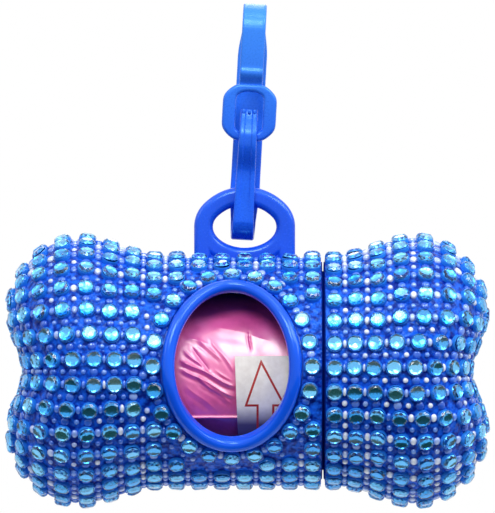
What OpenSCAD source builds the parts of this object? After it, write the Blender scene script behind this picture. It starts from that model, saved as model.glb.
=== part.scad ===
// Bone-shaped bag dispenser: a stone-covered shell with a screw-on end cap and a bag roll inside,
// hung on a moulded strap.
// Frame: X runs along the bone towards the end cap, +Z is up and the window faces -Y.
// The origin is the middle of the strap's leash loop, which carries everything below it.

/* [Bone] */
// Wall of the straight waist round the bore
waist_wall = 2.8; // [2.4:0.1:4]
// Half of the bone's length over its lobes, bare shell
bone_half = 40.9; // [39:0.1:46]
// Radius of the rounding where the side turns into the end face
corner_r = 12; // [10.5:0.5:13]
// Distance from the middle at which the lobes start to rise
flare_start = 15.6; // [15.2:0.1:19]
// Distance over which the lobes rise
flare_run = 14; // [11:0.5:16]
// Rise of the lobes in height, as a share of the waist radius
flare_height = 0.175; // [0.1:0.005:0.24]
// Rise of the lobes in depth, as a share of the waist radius
flare_depth = 0.04; // [0:0.01:0.1]
// Depth of the dent between the two lobes of an end
notch_depth = 3.5; // [1.5:0.1:4.2]
// Half width of that dent
notch_half = 7.2; // [6:0.1:9]
// Wall of the lobes
lobe_wall = 2.2; // [1.6:0.1:2.6]

/* [Cap joint] */
// Space left between the seam and the stones round the window
seam_edge = 0.3; // [0.2:0.1:2]
// Gap between the shell and the cap at the seam
seam_gap = 0.3; // [0.2:0.05:0.6]
// Play between the roll's film and the bore that holds it
roll_play = 1.4; // [1:0.1:2]
// Wall of the collar that the cap goes over
collar_wall = 1.2; // [0.9:0.1:1.4]
// Length of the collar past the seam
collar_len = 8; // [5:0.5:10]
// Radial clearance between the collar and the cap
collar_fit = 0.2; // [0.15:0.05:0.3]
// Width of the ring inside the cap that stops the collar
stop_w = 2; // [1:0.5:3]

/* [Window] */
// Position of the window's middle along the bone
window_x = -2.7; // [-3:0.1:-2]
// Height of the window's middle over the bone's axis
window_z = 1; // [0:0.1:1.5]
// Half length of the opening inside the bezel
window_half_x = 9.8; // [8:0.1:10.2]
// Half height of the opening inside the bezel, seen from the front
window_half_z = 12.6; // [10:0.1:13]
// Width of the bezel
bezel_w = 2.3; // [1.8:0.1:2.5]
// Height of the bezel over the shell
bezel_h = 2.1; // [1.6:0.1:2.6]

/* [Stones] */
// Thickness of the plastic net between the shell and the stones
net_t = 0.5; // [0.4:0.05:0.7]
// Layer of glue under the net and under each stone
glue = 0.1; // [0.08:0.01:0.15]
// Distance between stones along the bone
column_pitch = 3.92; // [3.75:0.01:4.4]
// Distance between stones round the bone
row_pitch = 4.1; // [3.95:0.01:4.6]
// Turn of the cap's stones from the middle of its front, as a share of their pitch
cap_turn = 0.17; // [0:0.01:0.5]
// Diameter of a stone
stone_d = 2.7; // [2.3:0.05:2.8]
// Width of the cup's wall round a stone
cup_wall = 0.15; // [0.12:0.01:0.18]
// Height of the cup
cup_h = 0.6; // [0.5:0.05:0.8]
// Width of the taper round the cup's foot
foot_taper = 0.65; // [0.4:0.05:0.7]
// Height of that taper
foot_h = 0.25; // [0.15:0.05:0.3]
// Height of the stone's crown over its cup
crown_h = 0.55; // [0.4:0.05:0.8]
// Diameter of the stone's flat table
table_d = 1.5; // [1.1:0.05:1.8]
// Distance kept between the stones and the bezel, the ear or the seam
stone_gap = 0.2; // [0.15:0.05:0.4]
// Least distance between the cups of two neighbours
cup_gap = 0.1; // [0.08:0.01:0.3]

/* [Ear] */
// Position of the ear along the bone
ear_x = -0.5; // [-1.5:0.1:1.5]
// Width of the ear
ear_w = 17.6; // [16:0.1:20]
// Height of the ear over the shell
ear_rise = 13.1; // [12:0.1:16]
// Width of the ear's frame round its eye
ear_bar = 3.3; // [2.8:0.1:3.6]
// Thickness of the ear, front to back
ear_t = 3.4; // [3:0.1:4]
// Height of the arch from the ear's widest place to its top
ear_arch = 7; // [6.6:0.1:7.8]
// Radius of the arch's shoulders at the middle of the frame
ear_shoulder_r = 4; // [3.4:0.1:4.4]
// Depth of the eye below the ear's widest place
ear_eye_depth = 3.6; // [3.2:0.1:3.9]
// Depth of the ear's feet in the shell
ear_root = 1.6; // [1:0.1:2]

/* [Strap] */
// Inner radius of the leash loop
loop_r = 3.5; // [3:0.1:4.5]
// Distance from the middle of the leash loop down to the ear's bar
strap_drop = 28.65; // [27:0.05:34]
// Thickness of the strap
strap_t = 1.3; // [1:0.1:1.5]
// Width of the strap behind the buckle and through the ear
strap_w = 5.1; // [4.4:0.1:5.6]
// Width of the leash loop's front strand
loop_w = 4.1; // [3.4:0.1:4.4]
// Clearance between the strap and each face of the ear
strap_fit = 0.7; // [0.6:0.05:0.9]
// Slack between the ear's bar and the strap's lower bend
strap_slack = 4.9; // [3.8:0.1:5.2]
// Lean of the strap to the side, in degrees
strap_lean = 3.2; // [0:0.1:5]
// Width of the strap at its lower bend
bend_w = 4.4; // [3.8:0.1:5]
// Width of the tongue where it leaves the lower bend
tongue_root_w = 3.6; // [3.2:0.1:4]
// Width of the tongue at its tip
tongue_w = 2.9; // [2.2:0.1:3.2]
// Thickness of the tongue
tongue_t = 1; // [0.8:0.1:1.1]

/* [Buckle] */
// Width of the buckle ring
buckle_w = 9.4; // [9:0.1:11]
// Height of the buckle ring
buckle_h = 9.9; // [9.5:0.1:11]
// Thickness of the buckle ring
buckle_t = 2; // [1.6:0.1:2.4]
// Radius of the ring's round corners, from its middle
buckle_corner_r = 5.6; // [5.5:0.05:6.2]
// Distance from the middle of the leash loop down to the middle of the ring
buckle_drop = 14.2; // [13.5:0.1:16]
// Width of the slot
slot_w = 4.8; // [4.2:0.1:5.2]
// Height of the slot
slot_h = 7.2; // [6.6:0.1:7.4]
// Radius of the slot's round corners, from its middle
slot_corner_r = 4; // [3.8:0.05:4.3]
// Clearance between the tongue and the ring's lower bar
tongue_fit = 0.25; // [0.2:0.05:0.4]

/* [Bag roll] */
// Radius of the wound film
roll_r = 14.7; // [14:0.1:16]
// Length of the roll
roll_len = 60; // [54:1:62]
// Outer radius of the roll's core
core_r = 6; // [5:0.1:8]
// Wall of the core
core_wall = 1; // [0.6:0.1:1.5]
// Thickness of the paper label
label_t = 0.2; // [0.1:0.05:0.25]
// Width of the label along the roll
label_w = 25; // [18:0.5:28]
// Left edge of the label along the bone
label_x = -2.2; // [-5:0.1:0]
// Angle of the label's top edge over the horizontal
label_top = 14; // [5:1:25]
// Angle that the label covers round the roll
label_angle = 100; // [60:5:160]
// Clearance between the label and the bottom of the bore
roll_fit = 0.3; // [0.2:0.05:0.5]

/* [Hidden] */

round_fn = 64;      // smoothness of bores, collars and bends
stone_fn = 16;      // smoothness of a stone
skin_sides = 40;    // flats round the bone's moulded surface
skin_step = 3;      // distance between the rings of that surface
skin_first = 0.2;   // least distance between its first two rings, as a share of that distance
skin_inner = 1.1;   // distance of its last ring from the end's middle
ear_sides = 16;     // flats round the ear's frame
ear_steps = 24;     // steps over the ear's arch
bezel_steps = 48;   // steps round the window
bezel_arc = 6;      // steps over the bezel's round top
reach = 100;        // length of a cut that goes right through

// Bore that the roll turns in, and the radius of the bare waist round it
bore_r = roll_r + roll_play;
waist_r = bore_r + waist_wall;

// Distances along the outline of the bare bone, from its middle to the middle of an end face
straight_u = bone_half - corner_r;
arc_u = corner_r * PI / 2;
pole_u = straight_u + arc_u + waist_r - corner_r;

// Height of the net's face and of the stones' base over the bare shell
net_top = glue + net_t;
stone_base = net_top + glue;
cup_r = stone_d / 2 + cup_wall;
stone_place = stone_gap + cup_r;

// Window: the line on the waist that the bezel's middle follows, and the stones round it
bezel_mid_h = bezel_h - bezel_w / 2;
bezel_pull = waist_r / (waist_r + bezel_mid_h);
window_girth = 2 * PI * ((window_half_x + window_half_z + bezel_w) / 2 + bezel_w / 2 + stone_place);

// Main shell, collar and cap
seam_x = window_x + window_half_x + bezel_w + 2 * stone_place + seam_edge;
cavity_x = flare_start + lobe_wall;
shell_end_x = seam_x - seam_gap / 2;
cap_start_x = seam_x + seam_gap / 2;
collar_r = bore_r + collar_wall;
socket_r = collar_r + collar_fit;
socket_end_x = seam_x + collar_len + seam_gap;
stop_end_x = socket_end_x + stop_w;

// Ear: a basket arch of three arcs, measured at the middle of its frame
ear_top_z = waist_r + ear_rise;
ear_spring_z = ear_top_z - ear_arch;
arch_half = (ear_w - ear_bar) / 2;
arch_rise = ear_arch - ear_bar / 2;
shoulder_x = arch_half - ear_shoulder_r;
crown_r = (shoulder_x ^ 2 + arch_rise ^ 2 - ear_shoulder_r ^ 2) / (2 * (arch_rise - ear_shoulder_r));
crown_half_angle = atan2(shoulder_x, crown_r - arch_rise);
ear_eye_half = arch_half - ear_bar / 2;
ear_eye_r = (ear_eye_half ^ 2 + ear_eye_depth ^ 2) / (2 * ear_eye_depth);
ear_edge_r = 0.56 * ear_t;
ear_web_inset = 0.3;
ear_web_drop = 0.5;
ear_foot_z = waist_r - ear_root;
bar_z = ear_top_z - ear_bar / 2;

// Strap, measured down from the middle of the leash loop
bend_r = ear_t / 2 + strap_fit;
bend_drop = strap_drop + ear_bar / 2 + strap_slack - bend_r;
buckle_y = -(bend_r + strap_t / 2);
buckle_top = buckle_drop - buckle_h / 2;
buckle_low = buckle_drop + buckle_h / 2;
slot_low = buckle_drop + slot_h / 2;
tongue_front_y = -(bend_r + tongue_t / 2);
tongue_over_y = buckle_y - buckle_t / 2 - tongue_fit - tongue_t / 2;

// Place of the bone under the strap
bone_x = -strap_drop * tan(strap_lean) - ear_x;
bone_z = -strap_drop - bar_z;

// Bag roll, lying on the bottom of the bore
roll_z = -(roll_play - label_t - roll_fit);

shell_color = "royalblue";
net_color = "mediumblue";
stone_color = "deepskyblue";

// ---- The bone's surface ----

function share(from, to, v) = min(1, max(0, (v - from) / (to - from)));
function smooth(from, to, v) =
    let (t = share(from, to, v))
    t * t * (3 - 2 * t);

// [x, radius] of a plain rounded barrel at distance u along its outline
function barrel(u) =
    let (d = abs(u), turn = (d - straight_u) / corner_r * 180 / PI)
    d <= straight_u ? [u, waist_r]
    : turn <= 90 ? [sign(u) * (straight_u + corner_r * sin(turn)), waist_r - corner_r * (1 - cos(turn))]
    : [sign(u) * bone_half, max(0, pole_u - d)];

// Point of the bare bone at distance u and angle a, which is 0 at the front and 90 on top
function bone_point(u, a) =
    let (
        p = barrel(u),
        swell = smooth(flare_start, flare_start + flare_run, abs(p.x)),
        y = -p.y * cos(a) * (1 + flare_depth * swell),
        z = p.y * sin(a) * (1 + flare_height * swell),
        dent = notch_depth * exp(-(z / notch_half) ^ 2) * share(flare_start, bone_half, abs(p.x))
    )
    [p.x - sign(p.x) * dent, y, z];

function bone_normal(u, a) =
    let (
        along = bone_point(u + 0.05, a) - bone_point(u - 0.05, a),
        round = bone_point(u, a + 0.5) - bone_point(u, a - 0.5),
        n = cross(along, round)
    )
    n / norm(n);

// The same surface, moved out by h, or in where h is below zero
function skin_point(u, a, h) = bone_point(u, a) + h * bone_normal(u, a);
function skin_ring(u, h) = [for (k = [0:skin_sides - 1]) skin_point(u, 360 * k / skin_sides, h)];
function end_point(side, h) = [side * (bone_half - notch_depth + h), 0, 0];

// Distances of the rings from a start to just before the end's middle. All but the first are counted
// from that middle, so that the surfaces over each other have their flats in line
function ring_stops(from) =
    let (last = pole_u - 2 * skin_inner, count = floor((last - from) / skin_step - skin_first))
    [from, each [for (k = [count:-1:0]) last - k * skin_step], pole_u - skin_inner];

// Solid through a row of rings, closed by a point at each end
module loft(rings, first, last) {
    n = len(rings[0]);
    m = len(rings);
    points = concat([first], [for (r = rings) each r], [last]);
    sides = [
        for (j = [0:m - 2], k = [0:n - 1])
            let (a = 1 + j * n + k, b = 1 + j * n + (k + 1) % n)
            each [[a, b, a + n], [b, b + n, a + n]]
    ];
    caps = [
        for (k = [0:n - 1])
            each [
                [0, 1 + (k + 1) % n, 1 + k],
                [1 + m * n, 1 + (m - 1) * n + k, 1 + (m - 1) * n + (k + 1) % n]
            ]
    ];
    polyhedron(points, concat(sides, caps));
}

// One end of the bone, solid, from a flat cut at the seam side; side is 1 for +X and -1 for -X
module bone_end(side, from, h) {
    mirror([side < 0 ? 1 : 0, 0, 0])
        loft([for (u = ring_stops(from)) skin_ring(u, h)], [from, 0, 0], end_point(1, h));
}

// Lays children out on the bare bone at distance u and angle a, h above it, their +Z pointing outwards
module on_bone(u, a, h) {
    n = bone_normal(u, a);
    translate(skin_point(u, a, h))
        rotate([0, acos(n.z), atan2(n.y, n.x)])
            children();
}

module under_strap() {
    translate([bone_x, 0, bone_z])
        children();
}

// A round bar along X, from one place to another
module bar_x(from, to, r) {
    translate([from, 0, 0])
        rotate([0, 90, 0])
            cylinder(h = to - from, r = r, $fn = round_fn);
}

// The oval that the window cuts through the front wall
module window_cut(grow_x, grow_z) {
    rotate([90, 0, 0])
        linear_extrude(reach)
            polygon([
                for (k = [0:bezel_steps - 1])
                    let (f = 360 * k / bezel_steps)
                    [
                        window_x + (window_half_x + grow_x) * cos(f),
                        window_z + (window_half_z + grow_z) * sin(f)
                    ]
            ]);
}

// ---- Shells ----

// Point of the arch's middle line at angle f, which is 180 on the left and 0 on the right
function arch_point(f) =
    abs(f - 90) < crown_half_angle
    ? [crown_r * cos(f), 0, arch_rise - crown_r + crown_r * sin(f)]
    : [sign(90 - f) * shoulder_x + ear_shoulder_r * cos(f), 0, ear_shoulder_r * sin(f)];

// Round-edged cross-section of the ear's frame at a point, facing outwards at angle f
function ear_ring(p, f) = [
    for (k = [0:ear_sides - 1])
        let (
            turn = 360 * k / ear_sides,
            r = min(ear_edge_r, ear_bar / 2 / max(0.1, abs(cos(turn))), ear_t / 2 / max(0.1, abs(sin(turn))))
        )
        p + r * cos(turn) * [cos(f), 0, sin(f)] + [0, r * sin(turn), 0]
];

module ear() {
    leg = ear_spring_z - ear_foot_z;
    feet = [[-arch_half, 0, -leg], [arch_half, 0, -leg]];
    arch = [for (k = [0:ear_steps]) let (f = 180 - 180 * k / ear_steps) ear_ring(arch_point(f), f)];
    translate([ear_x, 0, ear_spring_z]) {
        loft(concat([ear_ring(feet[0], 180)], arch, [ear_ring(feet[1], 0)]), feet[0], feet[1]);
        difference() {
            translate([-arch_half, -ear_t / 2 + ear_web_inset, -leg])
                cube([2 * arch_half, ear_t - 2 * ear_web_inset, leg - ear_web_drop]);
            translate([0, ear_t, ear_eye_r - ear_eye_depth])
                rotate([90, 0, 0])
                    cylinder(h = 2 * ear_t, r = ear_eye_r, $fn = round_fn);
        }
    }
}

module main_shell() {
    color(shell_color)
        under_strap()
            difference() {
                union() {
                    bone_end(-1, -shell_end_x, 0);
                    bar_x(shell_end_x - collar_len, seam_x + collar_len, collar_r);
                    ear();
                }
                bar_x(-cavity_x - 1, reach, bore_r);
                bone_end(-1, cavity_x, -lobe_wall);
                window_cut(0, 0);
            }
}

module end_cap() {
    color(shell_color)
        under_strap()
            difference() {
                bone_end(1, cap_start_x, 0);
                bar_x(0, socket_end_x, socket_r);
                bar_x(0, stop_end_x + 1, bore_r);
                bone_end(1, stop_end_x, -lobe_wall);
            }
}

// Point of the bezel's middle line on the waist, at angle f round the window
function window_edge(f) =
    let (
        x = window_x + (window_half_x + bezel_w / 2) * cos(f),
        z = bezel_pull * (window_z + (window_half_z + bezel_w / 2) * sin(f))
    )
    [x, -sqrt(waist_r ^ 2 - z ^ 2), z];

// Direction that points from that line into the window, along the waist
function window_inward(f) =
    let (p = window_edge(f), along = window_edge(f + 1) - window_edge(f - 1))
    cross([0, p.y, p.z] / waist_r, along / norm(along));

// [across, up] outline of the bezel: flat on the shell with a round top
bezel_section = concat(
    [[bezel_w / 2, glue], [-bezel_w / 2, glue]],
    [
        for (k = [0:bezel_arc])
            let (f = 180 - 180 * k / bezel_arc)
            [bezel_w / 2 * cos(f), bezel_mid_h + bezel_w / 2 * sin(f)]
    ]
);

function bezel_ring(f) =
    let (p = window_edge(f), up = [0, p.y, p.z] / waist_r)
    [for (q = bezel_section) p + q.x * window_inward(f) + q.y * up];

module window_bezel() {
    n = len(bezel_section);
    count = bezel_steps * n;
    points = [for (k = [0:bezel_steps - 1]) each bezel_ring(360 * k / bezel_steps)];
    faces = [
        for (k = [0:bezel_steps - 1], i = [0:n - 1])
            let (a = k * n + i, b = k * n + (i + 1) % n)
            each [[a, b, (a + n) % count], [b, (b + n) % count, (a + n) % count]]
    ];
    color(shell_color)
        under_strap()
            polyhedron(points, faces);
}

// ---- Stone nets ----

// The net of one end of the bone: a thin skin glued on the shell, open towards the seam
module net_skin(side, from) {
    stops = ring_stops(from);
    inner = [for (k = [len(stops) - 1:-1:0]) skin_ring(stops[k], glue)];
    outer = [for (u = stops) skin_ring(u, net_top)];
    mirror([side < 0 ? 1 : 0, 0, 0])
        loft(concat(inner, outer), end_point(1, glue), end_point(1, net_top));
}

module main_net() {
    color(net_color)
        under_strap()
            difference() {
                net_skin(-1, -shell_end_x + stone_gap);
                window_cut(bezel_w + stone_gap, bezel_w + stone_gap);
                translate([ear_x - ear_w / 2 - stone_gap, -ear_t / 2 - stone_gap, 0])
                    cube([ear_w + 2 * stone_gap, ear_t + 2 * stone_gap, reach]);
            }
}

module cap_net() {
    color(net_color)
        under_strap()
            net_skin(1, cap_start_x + stone_gap);
}

// ---- Stones ----

// A faceted stone in its cup, standing on the net
module stone() {
    top = cup_h + crown_h;
    rotate_extrude($fn = stone_fn)
        polygon([
            [0, 0],
            [cup_r - foot_taper, 0],
            [cup_r, foot_h],
            [cup_r, cup_h - cup_wall],
            [stone_d / 2, cup_h],
            [table_d / 2, top],
            [0, top]
        ]);
}

// Stones round the bone at distance u: an even count that fills its girth at the row pitch
function row_count(u) =
    let (
        p = barrel(u),
        swell = smooth(flare_start, flare_start + flare_run, abs(p.x)),
        girth = 2 * PI * p.y * (1 + net_top / waist_r) * (1 + swell * (flare_height + flare_depth) / 2)
    )
    2 * round(girth / row_pitch / 2);

// [u, a] of the stones in a ring round the bezel
window_ring = [
    for (k = [0:round(window_girth / column_pitch) - 1])
        let (
            f = 360 * k / round(window_girth / column_pitch),
            p = window_edge(f),
            out = -(bezel_w / 2 + stone_place) * window_inward(f),
            a = asin(p.z / waist_r)
        )
        [p.x + out.x, a + (out.y * sin(a) + out.z * cos(a)) / waist_r * 180 / PI]
];
ring_places = [for (s = window_ring) bone_point(s[0], s[1])];

// Whether a stone at p lies inside the ring round the window, or would touch it
function beside_window(p) =
    p.y < 0 && ((p.x - window_x) / (window_half_x + bezel_w)) ^ 2
        + ((p.z - window_z) / (window_half_z + bezel_w / 2)) ^ 2 < 1
    || min([for (q = ring_places) norm(p - q)]) < 2 * cup_r + cup_gap;

function beside_ear(p) =
    p.z > 0 && abs(p.x - ear_x) < ear_w / 2 + stone_place && abs(p.y) < ear_t / 2 + stone_place;

// Zone of a stone: the end of the bone, or the quarter of its side that it lies in
function zone(u, a) =
    let (turn = (a + 405) % 360)
    abs(u) > straight_u + arc_u / 2 ? "end"
    : turn < 90 ? "front"
    : turn < 180 ? "top"
    : turn < 270 ? "back"
    : "bottom";

// [u, a] of the stones in columns from the seam to the end; side is 1 on the cap, and phase shifts
// the rows by a part of their pitch
function stone_grid(side, first, phase) = [
    for (c = [0:floor((pole_u - first - 2 * cup_r - cup_gap) / column_pitch)])
        let (u = side * (first + c * column_pitch), n = row_count(u))
        for (k = [0:n - 1])
            [u, (k + phase) * 360 / n]
];

main_grid = [
    for (s = stone_grid(-1, stone_place - shell_end_x, 0.5))
        let (p = bone_point(s[0], s[1]))
        if (!beside_window(p) && !beside_ear(p)) s
];
cap_grid = stone_grid(1, cap_start_x + stone_place, cap_turn);

// The stones of one zone out of a list of [u, a]
module stones(places, wanted) {
    color(stone_color)
        under_strap()
            for (s = places)
                if (zone(s[0], s[1]) == wanted)
                    on_bone(s[0], s[1], stone_base)
                        stone();
}

// The stone in the middle of an end
module middle_stone(side) {
    color(stone_color)
        under_strap()
            translate(end_point(side, 0) + [side * stone_base, 0, 0])
                rotate([0, side * 90, 0])
                    stone();
}

module main_stones(wanted) {
    stones(concat(main_grid, window_ring), wanted);
    if (wanted == "end")
        middle_stone(-1);
}

module cap_stones(wanted) {
    stones(cap_grid, wanted);
    if (wanted == "end")
        middle_stone(1);
}

// ---- Strap ----

// Side view of the strap: X runs to the back and Y runs up
module side_view() {
    rotate([90, 0, 90])
        children();
}

// A strand: its side outline, as wide as its front outline
module strand(side_points, front_points) {
    intersection() {
        side_view()
            translate([0, 0, -buckle_w])
                linear_extrude(2 * buckle_w)
                    polygon(side_points);
        rotate([90, 0, 0])
            translate([0, 0, -reach])
                linear_extrude(2 * reach)
                    polygon(front_points);
    }
}

// Front outline of a strand that narrows from one width to another
function tapered(top, top_w, low, low_w) =
    [[-top_w / 2, -top], [top_w / 2, -top], [low_w / 2, -low], [-low_w / 2, -low]];

// A half ring of the strap, bent round the X axis
module half_bend(r, w) {
    side_view()
        rotate_extrude(angle = 180, $fn = round_fn)
            translate([r, -w / 2])
                square([strap_t, w]);
}

function band_side(path, h) = [
    for (i = [0:len(path) - 1])
        let (d = path[min(i + 1, len(path) - 1)] - path[max(i - 1, 0)])
        path[i] + h / norm(d) * [-d.y, d.x]
];

// Outline of a band of even thickness along a path
function band(path, t) =
    let (back = band_side(path, -t / 2))
    concat(band_side(path, t / 2), [for (i = [len(path) - 1:-1:0]) back[i]]);

module buckle_ring() {
    translate([0, buckle_y + buckle_t / 2, -buckle_drop])
        rotate([90, 0, 0])
            linear_extrude(buckle_t)
                difference() {
                    intersection() {
                        square([buckle_w, buckle_h], center = true);
                        circle(r = buckle_corner_r, $fn = round_fn);
                    }
                    intersection() {
                        square([slot_w, slot_h], center = true);
                        circle(r = slot_corner_r, $fn = round_fn);
                    }
                }
}

module hanging_strap() {
    loop_out = loop_r + strap_t;
    bend_out = bend_r + strap_t;
    tongue_path = [
        [tongue_front_y, -bend_drop],
        [tongue_front_y, -(strap_drop - ear_bar)],
        [tongue_over_y, -(buckle_low + tongue_t)],
        [tongue_over_y, -slot_low],
        [tongue_over_y + 0.25 * buckle_t, -(slot_low - tongue_t)],
        [buckle_y, -(buckle_drop + tongue_t)],
        [buckle_y + 0.25 * buckle_t, -(buckle_drop - tongue_t / 2)]
    ];
    color(shell_color)
        rotate([0, strap_lean, 0]) {
            half_bend(loop_r, loop_w);
            strand(
                [
                    [-loop_out, 0], [-loop_r, 0], [-loop_r, -loop_r],
                    [buckle_y + strap_t / 2, -buckle_top - strap_t],
                    [buckle_y - strap_t / 2, -buckle_top - strap_t],
                    [-loop_out, -loop_r]
                ],
                tapered(0, loop_w, reach, loop_w)
            );
            buckle_ring();
            strand(
                [
                    [loop_out, 0], [loop_r, 0], [loop_r, -loop_r],
                    [bend_r, -bend_drop], [bend_out, -bend_drop], [loop_out, -loop_r]
                ],
                concat(
                    [[-strap_w / 2, -strap_t * 2], [-loop_w / 2, 0], [loop_w / 2, 0], [strap_w / 2, -strap_t * 2]],
                    [[strap_w / 2, -strap_drop], [bend_w / 2, -bend_drop]],
                    [[-bend_w / 2, -bend_drop], [-strap_w / 2, -strap_drop]]
                )
            );
            translate([0, 0, -bend_drop])
                rotate([180, 0, 0])
                    half_bend(bend_r, bend_w);
            strand(band(tongue_path, tongue_t), tapered(buckle_top, tongue_w, bend_drop, tongue_root_w));
        }
}

// ---- Bag roll ----

module on_roll_axis() {
    under_strap()
        translate([0, 0, roll_z])
            children();
}

// A tube along the roll's axis
module tube_x(from, to, r, hole_r) {
    difference() {
        bar_x(from, to, r);
        bar_x(from - 1, to + 1, hole_r);
    }
}

module bag_roll() {
    color("hotpink")
        on_roll_axis()
            tube_x(-roll_len / 2, roll_len / 2, roll_r, core_r);
}

module roll_core() {
    color("tan")
        on_roll_axis()
            tube_x(-roll_len / 2, roll_len / 2, core_r, core_r - core_wall);
}

// A paper patch round the front of the roll, its top edge above the middle
module roll_label() {
    color("gainsboro")
        on_roll_axis()
            translate([label_x, 0, 0])
                side_view()
                    rotate([0, 0, 180 - label_top])
                        rotate_extrude(angle = label_angle, $fn = round_fn)
                            translate([roll_r, 0])
                                square([label_t, label_w]);
}

hanging_strap();
main_shell();
window_bezel();
main_net();
end_cap();
cap_net();
main_stones("front");  // main_front_stones
main_stones("top");  // main_top_stones
main_stones("back");  // main_back_stones
main_stones("bottom");  // main_bottom_stones
main_stones("end");  // main_end_stones
cap_stones("front");  // cap_front_stones
cap_stones("top");  // cap_top_stones
cap_stones("back");  // cap_back_stones
cap_stones("bottom");  // cap_bottom_stones
cap_stones("end");  // cap_end_stones
bag_roll();
roll_core();
roll_label();
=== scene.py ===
"""Looks of the bone-shaped bag dispenser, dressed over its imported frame.

Lengths are in millimetres, and make() and dress() turn them into metres. X runs along the bone to its cap,
Z is up and the window faces -Y. Shapes are drawn round the bone's middle, and dress() moves them to BONE_AT.
"""
import math

import bmesh
import bpy
import numpy as np
from mathutils import Matrix, Vector


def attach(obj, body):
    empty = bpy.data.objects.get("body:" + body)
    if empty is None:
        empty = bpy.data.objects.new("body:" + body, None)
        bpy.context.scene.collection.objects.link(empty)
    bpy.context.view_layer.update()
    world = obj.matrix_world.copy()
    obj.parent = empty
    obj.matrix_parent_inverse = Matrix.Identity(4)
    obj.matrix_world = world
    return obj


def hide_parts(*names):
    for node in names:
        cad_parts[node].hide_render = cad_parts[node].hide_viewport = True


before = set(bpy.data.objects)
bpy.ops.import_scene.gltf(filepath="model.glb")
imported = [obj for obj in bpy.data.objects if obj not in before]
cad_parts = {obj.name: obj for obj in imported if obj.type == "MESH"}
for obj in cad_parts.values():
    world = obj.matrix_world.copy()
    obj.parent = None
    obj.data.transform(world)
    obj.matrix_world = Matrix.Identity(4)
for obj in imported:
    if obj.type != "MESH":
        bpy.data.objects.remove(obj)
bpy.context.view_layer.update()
MM = 0.001
TAU = 2 * math.pi

# The part's own values
WAIST_R, BONE_HALF, CORNER_R = 18.9, 40.9, 12.0
FLARE_START, FLARE_RUN, FLARE_HEIGHT, FLARE_DEPTH = 15.6, 14.0, 0.175, 0.04
NOTCH_DEPTH, NOTCH_HALF, LOBE_WALL = 3.5, 7.2, 2.2
SEAM_X, SEAM_GAP, BORE_R, COLLAR_WALL, COLLAR_LEN, COLLAR_FIT, STOP_W = 13.1, 0.3, 16.1, 1.2, 8.0, 0.2, 2.0
WINDOW_X, WINDOW_Z, WINDOW_HALF_X, WINDOW_HALF_Z = -2.7, 1.0, 9.8, 12.6
BEZEL_W, BEZEL_H = 2.3, 2.1
NET_T, GLUE, COLUMN_PITCH, ROW_PITCH, CAP_TURN = 0.5, 0.1, 3.92, 4.1, 0.17
STONE_D, CUP_WALL, CUP_H, CROWN_H, TABLE_D = 2.7, 0.15, 0.6, 0.55, 1.5
STONE_GAP, CUP_GAP = 0.2, 0.1
EAR_X, EAR_W, EAR_RISE, EAR_BAR, EAR_T, EAR_ROOT = -0.5, 17.6, 13.1, 3.3, 3.4, 1.6
EAR_ARCH, EAR_SHOULDER_R, EAR_EYE_DEPTH = 7.0, 4.0, 3.6
LOOP_R, STRAP_DROP, STRAP_T, STRAP_W, LOOP_W = 3.5, 28.65, 1.3, 5.1, 4.1
STRAP_FIT, STRAP_SLACK, STRAP_LEAN = 0.7, 4.9, math.radians(3.2)
BEND_W, TONGUE_ROOT_W, TONGUE_W, TONGUE_T = 4.4, 3.6, 2.9, 1.0
BUCKLE_W, BUCKLE_H, BUCKLE_T, BUCKLE_CORNER_R, BUCKLE_DROP = 9.4, 9.9, 2.0, 5.4, 14.2
SLOT_W, SLOT_H, SLOT_CORNER_R, TONGUE_FIT = 4.8, 7.2, 3.7, 0.25
ROLL_R, ROLL_LEN, CORE_R, CORE_WALL = 14.7, 60.0, 6.0, 1.0
LABEL_T, LABEL_W, LABEL_X, LABEL_TOP, LABEL_ANGLE, ROLL_FIT = 0.2, 25.0, -2.2, 14.0, 100.0, 0.3

# What follows from them
STRAIGHT_U = BONE_HALF - CORNER_R
ARC_U = CORNER_R * math.pi / 2
POLE_U = STRAIGHT_U + ARC_U + WAIST_R - CORNER_R
NET_TOP = GLUE + NET_T
STONE_BASE = NET_TOP + GLUE
CUP_R = STONE_D / 2 + CUP_WALL
STONE_PLACE = STONE_GAP + CUP_R
SHELL_END, CAP_START = SEAM_X - SEAM_GAP / 2, SEAM_X + SEAM_GAP / 2
COLLAR_R = BORE_R + COLLAR_WALL
SOCKET_R = COLLAR_R + COLLAR_FIT
SOCKET_END = SEAM_X + COLLAR_LEN + SEAM_GAP
STOP_END = SOCKET_END + STOP_W
CAVITY_X = FLARE_START + LOBE_WALL
BEZEL_MID = BEZEL_H - BEZEL_W / 2
EAR_TOP, EAR_FOOT, EAR_EDGE_R = WAIST_R + EAR_RISE, WAIST_R - EAR_ROOT, 0.56 * EAR_T
EAR_SPRING = EAR_TOP - EAR_ARCH
ARCH_HALF, ARCH_RISE = (EAR_W - EAR_BAR) / 2, EAR_ARCH - EAR_BAR / 2
SHOULDER_X = ARCH_HALF - EAR_SHOULDER_R
CROWN_R = (SHOULDER_X**2 + ARCH_RISE**2 - EAR_SHOULDER_R**2) / (2 * (ARCH_RISE - EAR_SHOULDER_R))
CROWN_HALF = math.atan2(SHOULDER_X, CROWN_R - ARCH_RISE)
BONE_AT = np.array([-STRAP_DROP * math.tan(STRAP_LEAN) - EAR_X, 0, -STRAP_DROP - (EAR_TOP - EAR_BAR / 2)])
ORIGIN = np.zeros(3)
ROLL_Z = -(BORE_R - ROLL_R - LABEL_T - ROLL_FIT)
BEND_R = EAR_T / 2 + STRAP_FIT
BEND_DROP = STRAP_DROP + EAR_BAR / 2 + STRAP_SLACK - BEND_R
BUCKLE_Y = -(BEND_R + STRAP_T / 2)

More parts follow.
